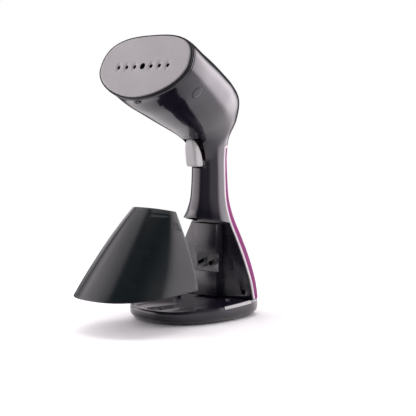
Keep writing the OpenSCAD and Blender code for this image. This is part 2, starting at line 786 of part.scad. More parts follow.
// One point in ten up the edge of the tank's back, between the floor and the roof
function back_edge(side, k) =
    let(z0 = tank_z0 + 2 + fit, z = z0 + k * (roof_z - 0.3 - z0) / 10)
    [side * (tank_side(z) - tank_t - 0.5), z];

module tank_back() {
    color(tank_tint) tank_frame() {
        difference() {
            translate([0, -0.2, 0]) rotate([90, 0, 0]) linear_extrude(back_t)
                polygon([for (k = [0:10]) back_edge(1, k), for (k = [10:-1:0]) back_edge(-1, k)]);
            channel_cut(0, 0, 120);
        }
        difference() {
            intersection() {
                channel_cut(channel_t, tank_z0 + 2 + fit, roof_z - tank_z0 - 2.4);
                translate([-50, -40, 0]) cube([100, 39.8, 120]);
            }
            channel_cut(0, 0, 120);
            translate([0, -channel_d, port_z]) rotate([90, 0, 0]) cylinder(d = 5, h = 9, center = true);
        }
    }
}

module tank_floor() {
    color(tank_tint) tank_frame() translate([0, 0, tank_z0]) rotate([deck_fall, 0, 0]) linear_extrude(2)
        difference() {
            polygon(flat(tank_ring(0.028, tank_t + 0.6)));
            translate([-channel_w / 2, -channel_d]) square([channel_w, channel_d + 5]);
        }
}

plug_y = -17;
plug_d = 9;

module tank_roof() {
    color(tank_tint) tank_frame() translate([0, 0, roof_z]) rotate([-roof_tilt, 0, 0])
        linear_extrude(1.6) scale([1, 1 / cos(roof_tilt)]) difference() {
            polygon(flat(tank_ring(roof_s, tank_t + 1.2)));
            translate([-channel_w / 2, -channel_d]) square([channel_w, channel_d + 5]);
            translate([0, plug_y]) circle(d = plug_d);
        }
}

module tank_ports() {
    color([0.08, 0.08, 0.09]) tank_frame() translate([0, -channel_d, port_z]) difference() {
        union() {
            translate([-13.5, 0.05, -7.5]) cube([27, 4.4, 15]);
            rotate([90, 0, 0]) cylinder(d = 4.9, h = 4);
        }
        rotate([90, 0, 0]) cylinder(d = 2.6, h = 30, center = true);
        for (s = [-1, 1]) translate([s * port_x, 4.4, 0]) rotate([90, -port_slant, 0])
            slot(port_l - 2, port_h - 2, 4);
    }
}

module tank_filter() {
    color([0.8, 0.8, 0.78]) tank_frame() {
        translate([0, -channel_d - 4.1, port_z]) rotate([90, 0, 0]) difference() {
            cylinder(d = 9, h = 3.4);
            translate([0, 0, -1]) cylinder(d = 5, h = 3);
        }
        hose([
            [0, -channel_d - 7.5, port_z], [0, -channel_d - 14, port_z - 5],
            [0, -channel_d - 20, 36], [0, -40, 27]
        ], hose_r);
        translate([0, -40, 21.5]) cylinder(d = 11, h = 5.6);
    }
}

module fill_plug() {
    z = roof_z - plug_y * tan(roof_tilt);
    color([0.1, 0.1, 0.11]) tank_frame() translate([0, plug_y, z]) {
        translate([0, 0, -2.2]) cylinder(d = plug_d - 0.8, h = 5);
        translate([0, 0, 2.7]) cylinder(d = plug_d + 1, h = 1.2);
        translate([-4, -1, 3.8]) cube([8, 2, 1.6]);
    }
}

base_tray();
bottom_plate();
rubber_feet();
base_screws();
edge_strip_left();
edge_strip_right();
bay_stud_left();
bay_stud_right();
catch_button();
catch_spring();
catch_cup();
cord_gland();
bay_wall();
port_seals();
rear_cover();
trim_strip();
shell_left();
shell_right();
top_cover();
handle_floor();
screw_cap_left();
screw_cap_right();
plate_bezel();
steam_plate();
plate_gasket();
boiler_block();
boiler_cover();
heating_element();
thermostat();
thermal_fuse();
attachment_slot();
trigger_frame();
trigger();
trigger_pin();
trigger_spring();
switch_body();
switch_plunger();
control_board();
water_pump();
pump_cradle();
inlet_hose();
outlet_hose();
tank_shell();
tank_back();
tank_floor();
tank_roof();
tank_ports();
tank_filter();
fill_plug();
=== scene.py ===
import math

import bmesh
import bpy
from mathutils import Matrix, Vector
from mathutils.bvhtree import BVHTree


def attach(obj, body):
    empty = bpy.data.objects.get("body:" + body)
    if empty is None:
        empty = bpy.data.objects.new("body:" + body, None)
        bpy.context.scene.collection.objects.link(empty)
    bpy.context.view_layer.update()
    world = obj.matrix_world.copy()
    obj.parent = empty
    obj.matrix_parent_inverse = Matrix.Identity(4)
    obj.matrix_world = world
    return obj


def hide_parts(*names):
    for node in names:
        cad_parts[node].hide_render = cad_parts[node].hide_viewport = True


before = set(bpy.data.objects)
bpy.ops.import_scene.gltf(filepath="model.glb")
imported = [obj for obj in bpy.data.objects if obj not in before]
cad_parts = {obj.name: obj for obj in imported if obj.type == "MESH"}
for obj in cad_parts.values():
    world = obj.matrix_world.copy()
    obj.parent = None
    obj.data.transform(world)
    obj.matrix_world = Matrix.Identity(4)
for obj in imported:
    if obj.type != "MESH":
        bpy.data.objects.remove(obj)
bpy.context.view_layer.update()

MM = 0.001                       # the sizes below are in millimetres
SCENE = bpy.context.scene


# ---------------------------------------------------------------- studio

VIEW_AZIMUTH = 40                # the camera stands round to +X by this angle, in degrees
VIEW_DISTANCE = 1066
VIEW_HEIGHT = 196.5
VIEW_SHIFT = 1.8                 # the camera stands this far to the left of the handle's axis
VIEW_PITCH = 4.574
LENS = 86.54
SENSOR = 36

az = math.radians(VIEW_AZIMUTH)
AWAY = Vector((-math.sin(az), math.cos(az), 0))        # level, from the camera to the object
ACROSS = Vector((math.cos(az), math.sin(az), 0))       # level, to the right of the picture
UP = Vector((0, 0, 1))


def make_camera():
    data = bpy.data.cameras.new("camera")
    data.lens = LENS
    data.sensor_width = SENSOR
    camera = bpy.data.objects.new("camera", data)
    SCENE.collection.objects.link(camera)
    camera.location = (-AWAY * VIEW_DISTANCE - ACROSS * VIEW_SHIFT + UP * VIEW_HEIGHT) * MM
    pitch = math.radians(VIEW_PITCH)
    look = AWAY * math.cos(pitch) - UP * math.sin(pitch)
    camera.rotation_mode = "QUATERNION"
    camera.rotation_quaternion = look.to_track_quat("-Z", "Y")
    SCENE.camera = camera


def softbox(name, place, aim, size, power, tint=(1, 1, 1)):
    """A soft light of size (across, up) at place, turned to aim; both are (right, away, up) in metres."""
    data = bpy.data.lights.new(name, "AREA")
    data.shape = "RECTANGLE"
    data.size, data.size_y = size
    data.energy = power
    data.color = tint
    light = bpy.data.objects.new(name, data)
    SCENE.collection.objects.link(light)
    spot, target = [ACROSS * p[0] + AWAY * p[1] + UP * p[2] for p in (place, aim)]
    light.location = spot
    light.rotation_mode = "QUATERNION"
    light.rotation_quaternion = (target - spot).to_track_quat("-Z", "Y")
    light.visible_camera = False
    light.visible_glossy = False


def lobe(tree, ray, right, away, up, start, full, strength):
    """A soft bright patch of the room seen in one direction, given as (right, away, up)."""
    toward = (ACROSS * right + AWAY * away + UP * up).normalized()
    facing = tree.nodes.new("ShaderNodeVectorMath")
    facing.operation = "DOT_PRODUCT"
    facing.inputs[1].default_value = toward
    tree.links.new(ray, facing.inputs[0])
    fall = tree.nodes.new("ShaderNodeMapRange")
    fall.interpolation_type = "SMOOTHSTEP"
    fall.inputs["From Min"].default_value = start
    fall.inputs["From Max"].default_value = full
    fall.inputs["To Min"].default_value = 0
    fall.inputs["To Max"].default_value = strength
    tree.links.new(facing.outputs["Value"], fall.inputs["Value"])
    return fall.outputs["Result"]


# Soft patches of the room: direction (right, away, up), the cosines where each starts and is full, strength
ROOM = [
    (0.92, 0.38, 0.05, 0.72, 0.93, 4.6),
    (0.80, -0.60, 0.0, 0.60, 1.0, 0.9),
    (-0.97, 0.2, 0.1, 0.76, 0.97, 3.4),
    (-0.66, 0.25, 0.70, 0.88, 0.98, 2.6),
    (-0.2, -0.95, -0.2, 0.4, 0.95, 0.22),
    (-0.35, 0.85, 0.38, 0.93, 0.985, 1.5),
    (0, 0.2, 1, 0.75, 0.98, 0.7),
]
ROOM_DIM = 0.07                  # brightness between the patches
GROUND = 1.3                     # brightness below the horizon, beyond the floor


def make_world():
    """White to the camera; to the object, a dim room with soft bright patches over a bright ground."""
    world = bpy.data.worlds.new("studio")
    SCENE.world = world
    world.use_nodes = True
    tree = world.node_tree
    nodes, links = tree.nodes, tree.links
    nodes.clear()
    place = nodes.new("ShaderNodeTexCoord")
    total = None
    for patch in ROOM:
        light = lobe(tree, place.outputs["Generated"], *patch)
        add = nodes.new("ShaderNodeMath")
        add.operation = "ADD"
        links.new(light, add.inputs[0])
        if total:
            links.new(total, add.inputs[1])
        else:
            add.inputs[1].default_value = ROOM_DIM
        total = add.outputs["Value"]
    ground = lobe(tree, place.outputs["Generated"], 0, 0, -1, 0.20, 0.45, 1)
    level = nodes.new("ShaderNodeMix")
    links.new(ground, level.inputs[0])
    links.new(total, level.inputs[2])
    level.inputs[3].default_value = GROUND
    room = nodes.new("ShaderNodeBackground")
    room.inputs["Color"].default_value = (1.0, 0.93, 0.98, 1)
    links.new(level.outputs[0], room.inputs["Strength"])
    plain = nodes.new("ShaderNodeBackground")
    plain.inputs["Color"].default_value = (1, 1, 1, 1)
    path = nodes.new("ShaderNodeLightPath")
    mix = nodes.new("ShaderNodeMixShader")
    out = nodes.new("ShaderNodeOutputWorld")
    links.new(path.outputs["Is Camera Ray"], mix.inputs["Fac"])
    links.new(room.outputs["Background"], mix.inputs[1])
    links.new(plain.outputs["Background"], mix.inputs[2])
    links.new(mix.outputs["Shader"], out.inputs["Surface"])


def make_lights():
    softbox("box_right", (1.15, -0.10, 0.85), (0, 0, 0.20), (0.9, 1.1), 3, (1, 0.97, 0.98))
    softbox("box_left", (-1.15, -0.35, 0.55), (0, 0, 0.15), (0.5, 1.1), 2, (0.96, 0.95, 1))
    softbox("box_over", (0.0, 0.25, 1.45), (0, 0, 0.10), (1.5, 1.2), 15)
    softbox("box_front", (-0.25, -1.5, 1.0), (0, 0, 0.15), (0.8, 0.8), 8)


# ---------------------------------------------------------------- materials

CLOUD_SCALE = 22                 # noise scales, in features per metre
SMUDGE_SCALE = 60
STREAK_SCALE = 400
RELIEF = 0.0004                  # height of the surface grain in metres, at full bump


def tone(colour, factor):
    return tuple(min(c * factor, 1) for c in colour[:3]) + (1,)


def noise_at(tree, scale, detail, stretch=(1, 1, 1)):
    """A noise texture fixed to the piece, with features of about 1 / scale metres."""
    place = tree.nodes.new("ShaderNodeTexCoord")
    mapping = tree.nodes.new("ShaderNodeMapping")
    mapping.inputs["Scale"].default_value = stretch
    noise = tree.nodes.new("ShaderNodeTexNoise")
    noise.inputs["Scale"].default_value = scale
    noise.inputs["Detail"].default_value = detail
    tree.links.new(place.outputs["Object"], mapping.inputs["Vector"])
    tree.links.new(mapping.outputs["Vector"], noise.inputs["Vector"])
    return noise.outputs["Fac"]


def mapped(tree, value, low, high, to_low, to_high):
    node = tree.nodes.new("ShaderNodeMapRange")
    node.inputs["From Min"].default_value = low
    node.inputs["From Max"].default_value = high
    node.inputs["To Min"].default_value = to_low
    node.inputs["To Max"].default_value = to_high
    tree.links.new(value, node.inputs["Value"])
    return node.outputs["Result"]


def mixed(tree, factor, a, b):
    """Colour a to b by factor; a may be a socket."""
    node = tree.nodes.new("ShaderNodeMix")
    node.data_type = "RGBA"
    tree.links.new(factor, node.inputs["Factor"])
    sockets = [s for s in node.inputs if s.type == "RGBA"]
    for socket, value in zip(sockets, (a, b)):
        if isinstance(value, tuple):
            socket.default_value = value
        else:
            tree.links.new(value, socket)
    return [s for s in node.outputs if s.type == "RGBA"][0]


def finish(name, colour, rough, metal=0.0, spread=0.15, grain=1500, bump=0.02, stretch=(1, 1, 1), wear=0.3,
           streaks=0.0, coat=0.0, shine=0.5):
    """A moulded or metal surface: cloudy tone, fine grain, smudges, streaks and paler rubbed edges."""
    material = bpy.data.materials.new(name)
    material.use_nodes = True
    tree = material.node_tree
    shader = tree.nodes["Principled BSDF"]
    clouds = mapped(tree, noise_at(tree, CLOUD_SCALE, 3), 0.3, 0.7, 0, 1)
    body = mixed(tree, clouds, tone(colour, 1 - spread), tone(colour, 1 + spread))
    geometry = tree.nodes.new("ShaderNodeNewGeometry")
    edges = mapped(tree, geometry.outputs["Pointiness"], 0.53, 0.60, 0, wear)
    worn = mixed(tree, edges, body, tone([c + 0.02 for c in colour[:3]], 1.6))
    tree.links.new(worn, shader.inputs["Base Color"])
    grains = noise_at(tree, grain, 4, stretch)
    low, high = rough * (1 - spread), rough * (1 + 2 * spread)
    smudges = mapped(tree, noise_at(tree, SMUDGE_SCALE, 5), 0.3, 0.75, low, high)
    if streaks:
        lines = mapped(tree, noise_at(tree, STREAK_SCALE, 2, (1, 1, 0.04)), 0.45, 0.75, 0, streaks)
        add = tree.nodes.new("ShaderNodeMath")
        add.operation = "ADD"
        tree.links.new(smudges, add.inputs[0])
        tree.links.new(lines, add.inputs[1])
        smudges = add.outputs["Value"]
    tree.links.new(smudges, shader.inputs["Roughness"])
    relief = tree.nodes.new("ShaderNodeBump")
    relief.inputs["Strength"].default_value = bump
    relief.inputs["Distance"].default_value = RELIEF
    tree.links.new(grains, relief.inputs["Height"])
    tree.links.new(relief.outputs["Normal"], shader.inputs["Normal"])
    shader.inputs["Metallic"].default_value = metal
    shader.inputs["Specular IOR Level"].default_value = shine
    shader.inputs["Coat Weight"].default_value = coat
    shader.inputs["Coat Roughness"].default_value = 0.03
    return material


def smoke(name, colour, clear, dense):
    """See-through plastic that looks denser where the eye meets it at a slant."""
    material = finish(name, colour, 0.12, spread=0.1, grain=300, bump=0.01, wear=0.1, shine=0.2)
    tree = material.node_tree
    slant = tree.nodes.new("ShaderNodeLayerWeight")
    slant.inputs["Blend"].default_value = 0.35
    cover = mapped(tree, slant.outputs["Facing"], 0.0, 0.9, clear, dense)
    tree.links.new(cover, tree.nodes["Principled BSDF"].inputs["Alpha"])
    return material


def circuit_board(name):
    """Green lacquer over paler copper tracks."""
    material = finish(name, (0.02, 0.12, 0.05), 0.35, grain=900, bump=0.03)
    tree = material.node_tree
    place = tree.nodes.new("ShaderNodeTexCoord")
    brick = tree.nodes.new("ShaderNodeTexBrick")
    brick.inputs["Scale"].default_value = 160
    brick.inputs["Mortar Size"].default_value = 0.05
    brick.inputs["Color1"].default_value = (0.02, 0.12, 0.05, 1)
    brick.inputs["Color2"].default_value = (0.02, 0.15, 0.06, 1)
    brick.inputs["Mortar"].default_value = (0.10, 0.30, 0.14, 1)
    tree.links.new(place.outputs["Object"], brick.inputs["Vector"])
    tree.links.new(brick.outputs["Color"], tree.nodes["Principled BSDF"].inputs["Base Color"])
    return material


FINISHES = {
    "dark_gloss": dict(colour=(0.006, 0.005, 0.010), rough=0.09, grain=260, bump=0.006, wear=0.1,
                       streaks=0.03),
    "dark_satin": dict(colour=(0.006, 0.005, 0.009), rough=0.26, grain=900, wear=0.1, shine=0.4),
    "matte_black": dict(colour=(0.012, 0.012, 0.013), rough=0.38, grain=2600, bump=0.12),
    # black: the bezel's own colour, and painted shade inside the steam holes, in the tank's slits and in
    # the lines round the screw caps
    "black_rim_and_painted_shade": dict(colour=(0.006, 0.006, 0.007), rough=0.45, grain=2600, bump=0.08, wear=0.1,
                      shine=0.12),
    "rubber_black": dict(colour=(0.014, 0.014, 0.014), rough=0.62, grain=3200, bump=0.25),
    "steel": dict(colour=(0.55, 0.55, 0.57), rough=0.28, metal=1, grain=1200, bump=0.05,
                  stretch=(1, 1, 0.05)),
    "light_grey": dict(colour=(0.33, 0.325, 0.325), rough=0.45, spread=0.05, grain=2400, bump=0.08),
    "magenta_gloss": dict(colour=(0.15, 0.009, 0.095), rough=0.35, spread=0.12, grain=260, bump=0.006,
                          wear=0.1, streaks=0.03, shine=0.02),
    "silver_trim": dict(colour=(0.42, 0.385, 0.405), rough=0.3, spread=0.04, grain=900, shine=0.25),
    "plate_aluminium": dict(colour=(0.215, 0.207, 0.211), rough=0.5, metal=0.1, spread=0.05, grain=1900,
                            bump=0.10, streaks=0.08),
    "rubber_red": dict(colour=(0.22, 0.03, 0.02), rough=0.55, grain=2600, bump=0.15),
    "cast_aluminium": dict(colour=(0.42, 0.42, 0.43), rough=0.5, metal=0.9, grain=1000, bump=0.35),
    "element_steel": dict(colour=(0.22, 0.17, 0.13), rough=0.4, metal=1, spread=0.35, bump=0.12),
    "ceramic_white": dict(colour=(0.75, 0.71, 0.60), rough=0.25, spread=0.06, grain=900, bump=0.04,
                          coat=0.3),
    # near black: the plunger's red darkened as painted shade, where it shows in the gap beside the trigger
    "switch_red": dict(colour=(0.035, 0.005, 0.005), rough=0.5, grain=1800, bump=0.06),
    "pump_white": dict(colour=(0.62, 0.60, 0.55), rough=0.42, spread=0.06, grain=2200, bump=0.10),
    "hose_clear": dict(colour=(0.70, 0.70, 0.70), rough=0.3, spread=0.05, grain=900, bump=0.05),
    "filter_white": dict(colour=(0.66, 0.66, 0.64), rough=0.7, spread=0.08, grain=1400, bump=0.5),
}
MATERIALS = {name: finish(name, **look) for name, look in FINISHES.items()}
MATERIALS["board_green"] = circuit_board("board_green")
MATERIALS["tank_smoke"] = smoke("tank_smoke", (0.007, 0.010, 0.011), 0.80, 0.98)


# ---------------------------------------------------------------- mesh tools

def sgn_pow(x, e):
    return math.copysign(abs(x) ** e, x)


def oval(a, b, count, n=2, lower_n=None):
    """A closed outline with half sizes a and b, squarer with a higher n; lower_n is for its lower half."""
    outline = []
    for k in range(count):
        f = 2 * math.pi * k / count
        e = 2 / (lower_n if lower_n and f > math.pi else n)
        outline.append((a * sgn_pow(math.cos(f), e), b * sgn_pow(math.sin(f), e)))
    return outline


def curve_at(rows, t):
    """The row at place t along the rows, on a smooth curve through them."""
    last = len(rows) - 1
    i = min(int(t), last - 1)
    t -= i
    a, b, c, d = [rows[min(max(i + k, 0), last)] for k in (-1, 0, 1, 2)]
    return [q + 0.5 * t * (r - p + t * (2 * p - 5 * q + 4 * r - s + t * (3 * (q - r) + s - p)))
            for p, q, r, s in zip(a, b, c, d)]


def mesh_object(name, points, faces):
    """A mesh in metres from points in millimetres, with faces that share points."""
    mesh = bpy.data.meshes.new(name)
    mesh.from_pydata([Vector(p) * MM for p in points], [], faces)
    piece = bpy.data.objects.new(name, mesh)
    SCENE.collection.objects.link(piece)
    return piece


def settle(piece):
    """Makes the piece's modifiers part of its mesh."""
    graph = bpy.context.evaluated_depsgraph_get()
    mesh = bpy.data.meshes.new_from_object(piece.evaluated_get(graph))
    piece.modifiers.clear()
    piece.data = mesh


def clean(piece, flat=0.0):
    """Joins doubled points, drops loose ones, turns faces outward, merges those within flat degrees."""
    work = bmesh.new()
    work.from_mesh(piece.data)
    bmesh.ops.remove_doubles(work, verts=work.verts, dist=1e-6)
    loose = [v for v in work.verts if not v.link_faces]
    bmesh.ops.delete(work, geom=loose, context="VERTS")
    if flat:
        bmesh.ops.dissolve_limit(work, angle_limit=math.radians(flat), verts=work.verts, edges=work.edges)
    bmesh.ops.recalc_face_normals(work, faces=work.faces)
    work.to_mesh(piece.data)
    work.free()


def round_edges(piece, width, angle=40):
    bevel = piece.modifiers.new("round", "BEVEL")
    bevel.width = width * MM
    bevel.segments = 2
    bevel.limit_method = "ANGLE"
    bevel.angle_limit = math.radians(angle)
    bevel.harden_normals = False
    settle(piece)


def smooth(piece, angle=35):
    for face in piece.data.polygons:
        face.use_smooth = True
    piece.data.set_sharp_from_angle(angle=math.radians(angle))


def cut(piece, cutters):
    """Takes the cutters' solids out of the piece, and deletes them."""
    for cutter in cutters:
        boolean = piece.modifiers.new("cut", "BOOLEAN")
        boolean.operation = "DIFFERENCE"
        boolean.solver = "EXACT"
        boolean.object = cutter
    settle(piece)
    for cutter in cutters:
        bpy.data.objects.remove(cutter)


def dress(piece, body, slot, *nodes):
    """Gives the piece its body and its finish, and hides the CAD nodes that it stands for."""
    if not piece.data.materials:
        piece.data.materials.append(MATERIALS[slot])
    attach(piece, body)
    if nodes:
        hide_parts(*nodes)
    return piece


def prism(name, outline, low, high, turn=lambda p: p):
    """A straight solid over a flat outline from low to high, with every point passed through turn."""
    n = len(outline)
    points = [turn((x, y, z)) for z in (low, high) for x, y in outline]
    faces = [list(range(n))[::-1], list(range(n, 2 * n))]
    faces += [[k, (k + 1) % n, n + (k + 1) % n, n + k] for k in range(n)]
    piece = mesh_object(name, points, faces)
    clean(piece)
    return piece


def stack(name, rings, closed=True):
    """A solid or tube through rings of equal length; closed caps the first and the last."""
    n = len(rings[0])
    points = [p for ring in rings for p in ring]
    faces = []
    for i in range(len(rings) - 1):
        for k in range(n):
            a, b = i * n + k, i * n + (k + 1) % n
            faces.append([a, b, b + n, a + n])
    if closed:
        faces.append(list(range(n))[::-1])
        faces.append(list(range(len(points) - n, len(points))))
    piece = mesh_object(name, points, faces)
    clean(piece)
    return piece


def wall(name, outer, inner, keep=lambda i, j: True):
    """The wall between two grids of points, over the cells (row, column) that keep picks."""
    rows, cols = len(outer), len(outer[0])
    size = rows * cols
    points = [p for grid in (outer, inner) for row in grid for p in row]

    def on(i, j):
        return 0 <= i < rows - 1 and 0 <= j < cols - 1 and keep(i, j)

    faces = []
    for i in range(rows - 1):
        for j in range(cols - 1):
            if not on(i, j):
                continue
            a, b, c, d = i * cols + j, i * cols + j + 1, (i + 1) * cols + j + 1, (i + 1) * cols + j
            faces += [[a, b, c, d], [d + size, c + size, b + size, a + size]]
            sides = [((i - 1, j), a, b), ((i + 1, j), c, d), ((i, j - 1), d, a), ((i, j + 1), b, c)]
            faces += [[q, p, p + size, q + size] for cell, p, q in sides if not on(*cell)]
    piece = mesh_object(name, points, faces)
    clean(piece)
    return piece


def soften(node, width, body, slot):
    """A copy of a CAD node with its hard edges rounded, which stands for it."""
    piece = bpy.data.objects.new(node + "_moulded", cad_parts[node].data.copy())
    SCENE.collection.objects.link(piece)
    piece.data.materials.clear()
    clean(piece, 1.0)
    round_edges(piece, width, 30)
    smooth(piece)
    return dress(piece, body, slot, node)


# ---------------------------------------------------------------- skin of the housing, handle and head

DECK_Z = 18.5
HOUSING_W = 115
HOUSING_REAR = 34
GRIP_W = 34.8
GRIP_FRONT = 19.5
SKIRT_Z = 96.5                   # the lower edge of the handle's shell, and its slope down to the front
SKIRT_SLOPE = 11.5
HEAD_W = 122
HEAD_H = 70
PLATE_TILT = 66.5
SKIN_T = 2.2
TRIM_W = 3
SHELL_Y = 3                      # y of the shells' rear edge on the handle, where the trim begins
COVER_Y = SHELL_Y + TRIM_W
SPANS = 3                        # rows of the plan below from one section to the next

# centre y, centre z, tilt, half width, depth in front, depth behind, squareness in front, squareness behind
SECTIONS = [
    (0, DECK_Z, 0, HOUSING_W / 2, 30, HOUSING_REAR, 2.3, 2.3),
    (0, 35, 0, 0.939 * HOUSING_W / 2, 30, HOUSING_REAR + 0.5, 2.3, 2.3),
    (0, 51, 0, 0.838 * HOUSING_W / 2, 30, HOUSING_REAR, 2.3, 2.3),
    (0, 66.5, 0, 0.722 * HOUSING_W / 2, 29, HOUSING_REAR - 2, 2.3, 2.3),
    (0, 83, 0, 0.579 * HOUSING_W / 2, 29, HOUSING_REAR - 5, 2.3, 2.3),
    (0, SKIRT_Z, 0, 0.457 * HOUSING_W / 2, 28, 26, 2.3, 2.3),
    (0, 109.5, 0, GRIP_W / 2 + 4, 24, 23, 2.3, 2.3),
    (0, 125.5, 0, GRIP_W / 2 + 1.1, 21, 20, 2.3, 2.3),
    (0, 154.5, 0, GRIP_W / 2, GRIP_FRONT, 18, 2.3, 2.3),
    (0, 169.5, 2, GRIP_W / 2 + 0.4, GRIP_FRONT + 2.5, 17.5, 2.3, 2.3),
    (-1, 184.5, 10, 20.5, 28, 21, 2.3, 2.3),
    (-2, 197.5, 21, 26.5, 35.5, 34.5, 2.25, 2.3),
    (-7, 210.5, 33, 34, 40.5, 40.5, 2.2, 2.35),
    (-19, 221.5, 44, 41, 42, 37, 2.1, 2.4),
    (-37, 230, 52, 46.5, 41, 36, 2, 2.5),
    (-57, 238.5, 58, 52, 40, 35.5, 1.9, 2.6),
    (-77, 246.5, 63, 57.5, 38.5, 34.2, 1.85, 2.7),
    (-92.5, 252.5, 66, HEAD_W / 2 - 0.4, HEAD_H / 2 + 0.2, HEAD_H / 2 + 0.2, 1.8, 2.75),
    (-99.5, 255.5, PLATE_TILT, HEAD_W / 2, HEAD_H / 2, HEAD_H / 2, 1.8, 2.75),
]
GRIP_Z = SECTIONS[7][1]

# The plan: rows where the parts of the skin begin and end, and how many columns each takes
SKIRT_I = 5 * SPANS
FRAME_LO_I = 8 * SPANS
ARCH_I = 9 * SPANS + 1
TRIM_TOP_I = ARCH_I + 0.4        # the trim's arch is narrower than a row of the plan
FRAME_HI_I = 11 * SPANS
SEAM_I = 11 * SPANS + 1
PLATE_I = (len(SECTIONS) - 1) * SPANS
FRONT_COLS = 13
REAR_COLS = 11
WINDOW_COLS = 4
SEAM_COLS = 6
HALF_COLS = FRONT_COLS + 1 + REAR_COLS
FINE = 4                         # steps of the skin's mesh in one cell of the plan above
SKIN_GAP = 0.12                  # the skin keeps this far inside the plan's outline


def column_angle(r, c):
    """Angle round section r of column c, from the front to the rear; the trim keeps its width along y."""
    a, b = [math.asin((at / r[5]) ** (r[7] / 2)) for at in (SHELL_Y, COVER_Y)]
    front, rear = math.pi / 2 + a, math.pi / 2 - b
    if c <= FRONT_COLS:
        return -math.pi / 2 + front * c / FRONT_COLS
    if c < FRONT_COLS + 1:
        return a + (b - a) * (c - FRONT_COLS)
    return b + rear * (c - FRONT_COLS - 1) / REAR_COLS


def skirt_lift(y, z):
    """Rise of the skin in front, full at the shell's lower edge and below, and gone at the grip."""
    fade = min(max((GRIP_Z - z) / (GRIP_Z - SKIRT_Z), 0), 1)
    return max(SHELL_Y - y, 0) * math.tan(math.radians(SKIRT_SLOPE)) * fade


def skin_point(r, c, inset):
    """A point of the skin on section r and column c, which is on the left past HALF_COLS, inset inwards."""
    left = c > HALF_COLS
    f = column_angle(r, 2 * HALF_COLS - c if left else c)
    n = r[6] if f < 0 else r[7]
    x = (r[3] - inset) * sgn_pow(math.cos(f), 2 / n)
    s = sgn_pow(math.sin(f), 2 / n)
    v = s * ((r[4] if s < 0 else r[5]) - inset)
    tilt = math.radians(r[2])
    y, z = r[0] + v * math.cos(tilt), r[1] + v * math.sin(tilt)
    return (-x if left else x, y, z + skirt_lift(y, z))


def fold(j):
    """The column on the right that mirrors column j."""
    return j if j < HALF_COLS else 2 * HALF_COLS - 1 - j


# Which piece a cell of the plan belongs to, for its row i and its column j
def in_window(i, j):
    return fold(j) < WINDOW_COLS and FRAME_LO_I <= i < FRAME_HI_I


def in_top(i, j):
    return fold(j) >= HALF_COLS - SEAM_COLS and i >= SEAM_I


def in_trim(i, j):
    return i < TRIM_TOP_I and (fold(j) == FRONT_COLS or (fold(j) > FRONT_COLS and i >= ARCH_I))


def in_cover(i, j):
    return fold(j) > FRONT_COLS and i < ARCH_I


def in_shell(i, j):
    others = in_window(i, j) or in_top(i, j) or in_trim(i, j) or in_cover(i, j)
    return i >= SKIRT_I and not others


def in_right_shell(i, j):
    return in_shell(i, j) and j < HALF_COLS


def in_left_shell(i, j):
    return in_shell(i, j) and j >= HALF_COLS


def round_seams(piece, width):
    """Rounds the sharp edges of a skin piece, but leaves the middle line closed."""
    work = bmesh.new()
    work.from_mesh(piece.data)
    sharp = []
    for edge in work.edges:
        if len(edge.link_faces) == 2 and edge.calc_face_angle(0) > math.radians(60):
            if max(abs(v.co.x) for v in edge.verts) > 0.2 * MM:
                sharp.append(edge)
    bmesh.ops.bevel(work, geom=sharp, offset=width * MM, segments=2, profile=0.5, affect="EDGES",
                    clamp_overlap=True)
    work.to_mesh(piece.data)
    work.free()


RING_LIP = 4                     # rows of the skin in the ring beside the plate
GROOVE = 0.55                    # depth of the groove behind that ring
RING_EASE = 0.35                 # how far the ring draws in at the plate


def skin_inset(row):
    """How far a row of the skin lies inside the plan: the ring beside the plate has a groove behind it."""
    end = PLATE_I * FINE
    if row == end - RING_LIP:
        return SKIN_GAP + GROOVE
    if row == end:
        return SKIN_GAP + RING_EASE
    return SKIN_GAP


ROWS = PLATE_I * FINE + 1
COLS = 2 * HALF_COLS * FINE + 1
RINGS = [curve_at(SECTIONS, i / (SPANS * FINE)) for i in range(ROWS)]
OUTER = [[skin_point(RINGS[i], j / FINE, skin_inset(i)) for j in range(COLS)] for i in range(ROWS)]
INNER = [[skin_point(RINGS[i], j / FINE, SKIN_T) for j in range(COLS)] for i in range(ROWS)]


def make_skins():
    """The shells, the covers and the trim, each a part of one wall; gives the pieces by their CAD nodes."""
    parts = [
        ("shell_left_skin", in_left_shell, "dark_gloss", "shell_left", 0.14),
        ("shell_right_skin", in_right_shell, "dark_gloss", "shell_right", 0.14),
        ("top_cover_skin", in_top, "dark_gloss", "top_cover", 0.25),
        ("rear_cover_skin", in_cover, "magenta_gloss", "rear_cover", 0.3),
        ("trim_strip_skin", in_trim, "silver_trim", "trim_strip", 0.3),
    ]
    made = {}
    for name, keep, slot, node, edge in parts:
        piece = wall(name, OUTER, INNER, lambda i, j: keep(i / FINE, j // FINE))
        round_seams(piece, edge)
        smooth(piece, 50)
        made[node] = dress(piece, "stand", slot, node)
    return made


# ---------------------------------------------------------------- head

PLATE_CENTRE = SECTIONS[-1][:2]
PLATE_A = 59                     # half width of the plate
HEAD_A = HEAD_W / 2
HEAD_B = HEAD_H / 2
PLATE_B = HEAD_B - (HEAD_A - PLATE_A)
STEAM_PITCH = 11
STEAM_D = 4
CENTRE_D = 6.8                   # the middle steam hole is wider
STEAM_HOLES = range(-3, 4)       # the holes' places along the plate, in pitches from its middle


def at_plate(p):
    """From the plate's own frame, with z out of the plate, to the row's frame."""
    t = math.radians(PLATE_TILT)
    x, v, z = p
    y = PLATE_CENTRE[0] + v * math.cos(t) - z * math.sin(t)
    return (x, y, PLATE_CENTRE[1] + v * math.sin(t) + z * math.cos(t))


def plate_oval(a, b, count):
    """Outline of the head at the plate: rounder below than above."""
    return oval(a, b, count, SECTIONS[-1][7], SECTIONS[-1][6])


def oval_rings(profile, count=192):
    """Rings of points at the plate for a profile of (inset from the head's outline, height)."""
    return [[at_plate((x, y, z)) for x, y in plate_oval(HEAD_A - d, HEAD_B - d, count)] for d, z in profile]


